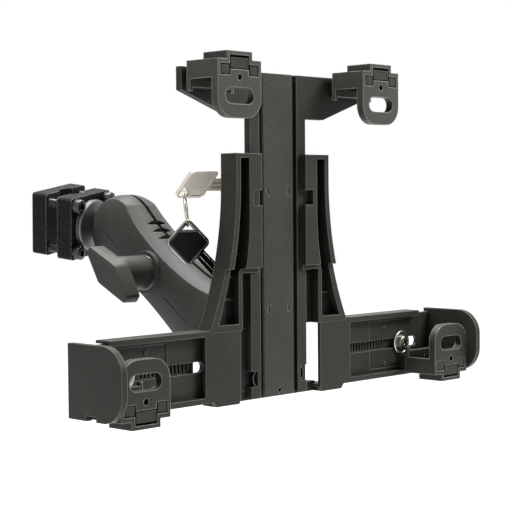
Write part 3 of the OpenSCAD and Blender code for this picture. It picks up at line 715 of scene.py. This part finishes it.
thread = []
for ring in range(THREAD_RINGS):
    low = THREAD_START + ring * THREAD_PITCH
    thread += [(CREST, low + 0.15), (CREST, low + 0.3), (ROOT, low + 0.6), (ROOT, low + 0.7)]
screw_outline = [(0.0, 0.0), (3.55, 0.0), (4.0, 0.22)]
screw_outline += [(HEAD_RADIUS, RIM_LOW), (HEAD_RADIUS, RIM_HIGH)]
screw_outline += [(4.0, HEAD_TOP), (CREST, HEAD_TOP), (CREST, 14.7)] + thread
screw_outline += [(CREST, 25.6), (CREST, 33.1), (2.2, 33.5), (0.0, 33.5)]
screw = turned("clamp_screw_set", screw_outline)
print("screw outline:", len(screw_outline), "points,", THREAD_RINGS, "rings of thread")

# %% Knurl and socket
KNURL_FACE, KNURL_LAND, KNURL_DEPTH = 7.5, 0.00006, 0.00024
SOCKET_RADIUS, SOCKET_BOTTOM = 2.3, 2.5

pick_faces(
    screw,
    lambda centre, normal: 4.1 < math.hypot(centre.x, centre.y)
    and RIM_LOW < centre.z < RIM_HIGH
    and round(math.degrees(math.atan2(centre.y, centre.x)) / KNURL_FACE - 0.5) % 2 == 0,
)
bpy.ops.mesh.inset(thickness=KNURL_LAND, depth=-KNURL_DEPTH, use_individual=True)
leave_edit()
bpy.ops.mesh.primitive_cylinder_add(
    vertices=6, radius=SOCKET_RADIUS * MM, depth=2.0 * SOCKET_BOTTOM * MM,
    location=(0.0, 0.0, 0.0),
)
cut_or_join(screw, bpy.context.object, "DIFFERENCE")
print("screw faces:", len(screw.data.polygons))

# %% Four clamp screws
SCREW_OUT, SCREW_UP, JAW_FACE = 15.4, 14.4, 23.0
FIRST_TURN, NEXT_TURN = 11.0, 23.0

spots = [(x * SCREW_OUT, z * SCREW_UP) for x in (-1, 1) for z in (-1, 1)]
screws = [screw] + [copy_of(screw, "clamp_screw_copy") for _ in spots[1:]]
for number, (one, (x, z)) in enumerate(zip(screws, spots)):
    place = CLAMP_PLACE @ Matrix.Translation((x * MM, JAW_FACE * MM, z * MM))
    place = place @ Matrix.Rotation(math.radians(-90.0), 4, "X")
    set_down(one, place @ Matrix.Rotation(math.radians(FIRST_TURN + NEXT_TURN * number), 4, "Z"))
join_all(screw, screws)
belongs(screw, "clamp", "black_steel", "black_steel", "clamp_screws")

# %% [markdown]
# ## Flange of the clamp ball
# Behind the ball sits a turned steel disc with a bright chamfer, a fine groove round its rim and a
# hollow face that runs into the neck. It is one outline on the lathe.

# %% Flange
flange = turned("clamp_ball_flange", [
    (0.0, 28.0), (15.5, 28.0), (15.8, 27.8), (15.8, 27.1), (15.4, 26.95), (15.4, 26.65),
    (16.0, 26.45), (16.0, 24.9), (15.5, 24.3), (14.9, 24.1), (13.4, 24.05), (11.4, 23.8),
    (9.4, 23.3), (7.6, 22.7), (6.2, 22.35), (5.06, 22.3), (5.06, 26.04), (0.0, 26.04),
], steps=96)
set_down(flange, CLAMP_PLACE @ Matrix.Rotation(math.radians(-90.0), 4, "X"))
belongs(flange, "clamp", "turned_steel", "zinc_steel", "ball_flange")

# %% [markdown]
# ## Washers under the knob
# Two thin plated washers lie between the knob and the boss of the arm. Only their rims show, as
# two bright rings with a dark line between them.

# %% Washers
BOSS_FACE = -17.0

washers = turned("knob_washers", [
    (3.25, 0.0), (10.3, 0.0), (10.55, 0.12), (10.55, 0.38), (10.3, 0.5), (9.0, 0.5), (9.0, 1.05),
    (9.95, 1.05), (10.2, 1.15), (10.2, 1.4), (9.95, 1.5), (3.25, 1.5), (3.25, 0.0),
], steps=72)
boss_face = ARM_PLACE @ Matrix.Translation((BOSS_FACE * MM, BOLT_AT * MM, 0.0))
set_down(washers, boss_face @ Matrix.Rotation(math.radians(-90.0), 4, "Y"))
belongs(washers, "arm", "washer_steel", "zinc_steel", "knob_washer")

# %% [markdown]
# ## Wing knob
# The knob is one moulding: a round stem and two wings with narrow ends and a broad middle. The
# wings start as a six sided prism whose corners are pulled to their outline. They are wider at the
# back than at the front, as a moulding needs draft, so that their middle runs into the stem. The
# upright corners are rounded by a bevel, and the broad front gets a sunk bare panel by two insets.
# The outline lists each corner by its angle, with its place in front and its place at the back.

# %% Outline of the wings
STEM_FOOT, KNOB_LENGTH, WING_DEPTH = 18.6, 27.1, 10.2
KNOB_FRONT = STEM_FOOT + KNOB_LENGTH
KNOB_BACK = KNOB_FRONT - WING_DEPTH
WING_OUTLINE = {
    0: ((21.7, 2.3), (21.6, 2.9)),
    60: ((2.6, 8.7), (2.2, 10.0)),
    120: ((-21.7, 2.3), (-21.6, 2.9)),
    180: ((-21.7, -2.3), (-21.6, -2.9)),
    240: ((-2.6, -8.7), (-2.2, -10.0)),
    300: ((21.7, -2.3), (21.6, -2.9)),
}
print("wings from", KNOB_BACK, "to", KNOB_FRONT, "mm over the foot of the stem")

# %% Wings pulled to their outline
FIRST_CORNER, PRISM_RADIUS = 30, 10.0
KNOB_MIDDLE = (KNOB_FRONT + KNOB_BACK) / 2.0

bpy.ops.object.select_all(action="DESELECT")
bpy.ops.mesh.primitive_cylinder_add(
    vertices=6, radius=PRISM_RADIUS * MM, depth=WING_DEPTH * MM,
    location=(0.0, 0.0, KNOB_MIDDLE * MM),
)
knob = bpy.context.object
knob.name = "knob_moulding"
only(knob)
bpy.ops.object.transform_apply(location=True, rotation=True, scale=True)
for place in [vertex.co / MM for vertex in knob.data.vertices]:
    turn = (round(math.degrees(math.atan2(place.y, place.x))) - FIRST_CORNER) % 360
    goal = WING_OUTLINE[turn][0 if place.z > KNOB_MIDDLE else 1]
    step = Vector((goal[0] - place.x, goal[1] - place.y, 0.0)) * MM
    pick_points(knob, lambda point: (point - place).length < 0.01)
    bpy.ops.transform.translate(value=step)
    leave_edit()
print("corners pulled:", len(knob.data.vertices))

# %% Rounded corners and the sunk panel
UPRIGHT_ROUND, FRONT_ROUND, BACK_ROUND = 1.5, 0.7, 0.9
PANEL_BORDER, PANEL_SLOPE, PANEL_DEPTH = 1.3, 0.3, 0.3
NEAR = 0.01

for test, round_by, steps in (
    (lambda one, two: abs(one.z - two.z) > 5.0, UPRIGHT_ROUND, 5),
    (lambda one, two: min(one.z, two.z) > KNOB_FRONT - NEAR, FRONT_ROUND, 3),
    (lambda one, two: max(one.z, two.z) < KNOB_BACK + NEAR, BACK_ROUND, 3),
):
    pick_edges(knob, test)
    bpy.ops.mesh.bevel(offset=round_by * MM, segments=steps, affect="EDGES")
    leave_edit()
pick_faces(knob, lambda centre, normal: normal.z > 0.99 and centre.z > KNOB_FRONT - NEAR)
bpy.ops.mesh.inset(thickness=PANEL_BORDER * MM, depth=0.0)
bpy.ops.mesh.inset(thickness=PANEL_SLOPE * MM, depth=-PANEL_DEPTH * MM)
leave_edit()
print("wings:", len(knob.data.polygons), "faces")

# %% Stem
KNOB_TURN = 6.0

stem = turned("knob_stem", [
    (0.0, 33.6), (3.1, 33.6), (3.1, STEM_FOOT), (9.5, STEM_FOOT), (9.85, 18.75), (10.0, 19.2),
    (10.0, 35.2), (9.6, 37.2), (8.4, 39.2), (0.0, 39.2),
], steps=72)
cut_or_join(knob, stem, "UNION")
knob_place = (
    ARM_PLACE
    @ Matrix.Translation((0.0, BOLT_AT * MM, 0.0))
    @ Matrix.Rotation(math.radians(KNOB_TURN), 4, "X")
    @ Matrix.Rotation(math.radians(-90.0), 4, "Z")
    @ Matrix.Rotation(math.radians(90.0), 4, "X")
)
set_down(knob, knob_place, 35.0)
belongs(knob, "knob", "knob_plastic", "knob_plastic", "wing_knob")

# %% [markdown]
# ## Pads in the hooks
# Each hook holds a rubber pad under the edge of the tablet, and a block on each side of it. On the
# real part they are pressed into pockets, so a thin dark gap runs round each one. One set is
# modelled from three rounded blocks, a little smaller than the pockets, and a line is let into the
# front of the middle one. Copies go to the other hooks, turned over for the lower ones.

# %% One set of pads
GAP, GAP_UP = 0.6, 0.4
FRONT, BACK = -26.6, -10.8
MIDDLE_HALF, MIDDLE_LOW, MIDDLE_HIGH = 7.0, -2.5, 3.8
SIDE_IN, SIDE_OUT, SIDE_LOW = 6.7, 13.6, -5.7
LINE_BORDER, LINE_SLOPE, LINE_DEPTH = 0.7, 0.12, 0.18

pad = block(
    (-MIDDLE_HALF + GAP, FRONT, MIDDLE_LOW + GAP_UP),
    (MIDDLE_HALF - GAP, BACK, MIDDLE_HIGH - GAP_UP),
)
pick_faces(pad, lambda centre, normal: normal.y < -0.99)
bpy.ops.mesh.inset(thickness=LINE_BORDER * MM, depth=0.0)
bpy.ops.mesh.inset(thickness=LINE_SLOPE * MM, depth=-LINE_DEPTH * MM)
leave_edit()
parts = [pad]
for side in (-1, 1):
    low, high = sorted((side * (SIDE_IN + GAP), side * (SIDE_OUT - GAP)))
    parts.append(block((low, FRONT, SIDE_LOW + GAP_UP), (high, BACK, -GAP)))
join_all(pad, parts)
pad.name = "pad_set"
print("one set of pads:", len(pad.data.polygons), "faces")

# %% Pads for the four hooks
hooks = [
    ("upper_left", -56.05, 176.0, 1, "upper"),
    ("upper_right", 56.05, 176.0, 1, "upper"),
    ("lower_left", -121.05, 5.5, -1, "left_arm"),
    ("lower_right", 121.05, 5.5, -1, "right_arm"),
]
sets = [pad] + [copy_of(pad, "pad_copy") for _ in hooks[1:]]
for one, (name, x, z, way, body) in zip(sets, hooks):
    one.name = "pad_set_" + name
    place = CRADLE_PLACE @ Matrix.Translation((x * MM, 0.0, z * MM))
    set_down(one, place @ Matrix.Scale(way, 4, (0.0, 0.0, 1.0)))
    belongs(one, body, "pad_rubber", "pad_rubber", "pad_" + name)

# %% [markdown]
# ## Screws of the rails
# A pan head screw on a broad plated washer holds each side arm where it was set. The washer has
# a raised rim, and the head a cross recess. Both are turned on the lathe, and two narrow blocks
# cut the recess by booleans. Their height on the rail and the length of the shank are read from
# the solids that they stand for.

# %% One rail washer and screw
PAN_TOP = 3.6
RECESS_HALF_LENGTH, RECESS_HALF_WIDTH, RECESS_FLOOR = 2.3, 0.5, 2.1

low, high = (Vector(corner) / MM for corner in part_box("slide_screws"))
rail_screw_up = (low.z + high.z) / 2.0 + POST.z
shank_end = PAN_TOP - (high.y - low.y)
rail_washer = turned("rail_washers", [
    (2.1, 0.0), (6.9, 0.0), (7.1, 0.2), (7.1, 0.85), (6.75, 1.2), (6.1, 1.2), (5.8, 0.9),
    (2.1, 0.9), (2.1, 0.0),
], steps=60)
rail_screw = turned("rail_screws", [
    (0.0, shank_end), (2.0, shank_end), (2.0, 0.95), (4.1, 0.95), (4.3, 1.15), (4.3, 1.9),
    (4.0, 2.7), (3.3, 3.25), (2.0, 3.55), (0.0, PAN_TOP),
], steps=48)
for x, y in ((RECESS_HALF_LENGTH, RECESS_HALF_WIDTH), (RECESS_HALF_WIDTH, RECESS_HALF_LENGTH)):
    cut_or_join(rail_screw, block((-x, -y, RECESS_FLOOR), (x, y, 5.0), 0.12), "DIFFERENCE")
print("rail screw:", len(rail_screw.data.polygons), "faces, shank to", round(shank_end, 2), "mm")

# %% Washers and screws of both rails
SLIDE_FACE, RAIL_SCREW_OUT, RECESS_TURN = 3.1, 110.3, 20.0

for piece, finish_name, node_name in (
    (rail_washer, "zinc_steel", "slide_washers"),
    (rail_screw, "dull_zinc", "slide_screws"),
):
    twin = copy_of(piece, "other_side")
    for one, side in ((piece, -1), (twin, 1)):
        spot = Vector((side * RAIL_SCREW_OUT, SLIDE_FACE, rail_screw_up)) * MM
        place = CRADLE_PLACE @ Matrix.Translation(spot)
        place = place @ Matrix.Rotation(math.radians(90.0), 4, "X")
        set_down(one, place @ Matrix.Rotation(math.radians(RECESS_TURN), 4, "Z"))
    join_all(piece, [twin])
    belongs(piece, "cradle", finish_name, "zinc_steel", node_name)

# %% [markdown]
# ## Web at the foot of the cradle
# Behind the foot of the column the back wall of the cradle closes the view. It is one thin plate
# on the cross tie, with two upright ribs that stiffen it. The plate starts as a rounded block, and
# its ribs are pulled out of the strips that four cuts with the bisect operator leave on its back.

# %% Foot web
WEB_HALF, WEB_FRONT, WEB_BACK, WEB_FOOT, WEB_TOP = 26.2, 4.6, 7.4, 0.4, 38.0
RIB_IN, RIB_OUT, RIB_DEPTH = 7.4, 9.0, 1.2

web = block((-WEB_HALF, WEB_FRONT, WEB_FOOT), (WEB_HALF, WEB_BACK, WEB_TOP), 0.4)
web.name = "foot_web"
only(web)
bpy.ops.object.mode_set(mode="EDIT")
for cut in (-RIB_OUT, -RIB_IN, RIB_IN, RIB_OUT):
    bpy.ops.mesh.select_all(action="SELECT")
    bpy.ops.mesh.bisect(plane_co=(cut * MM, 0.0, 0.0), plane_no=(1.0, 0.0, 0.0))
leave_edit()
pick_faces(web, lambda centre, normal: normal.y > 0.99 and RIB_IN < abs(centre.x) < RIB_OUT)
bpy.ops.mesh.extrude_region_move(TRANSFORM_OT_translate={"value": (0.0, RIB_DEPTH * MM, 0.0)})
leave_edit()
set_down(web, CRADLE_PLACE)
belongs(web, "cradle", "cradle_plastic", "cradle_plastic")
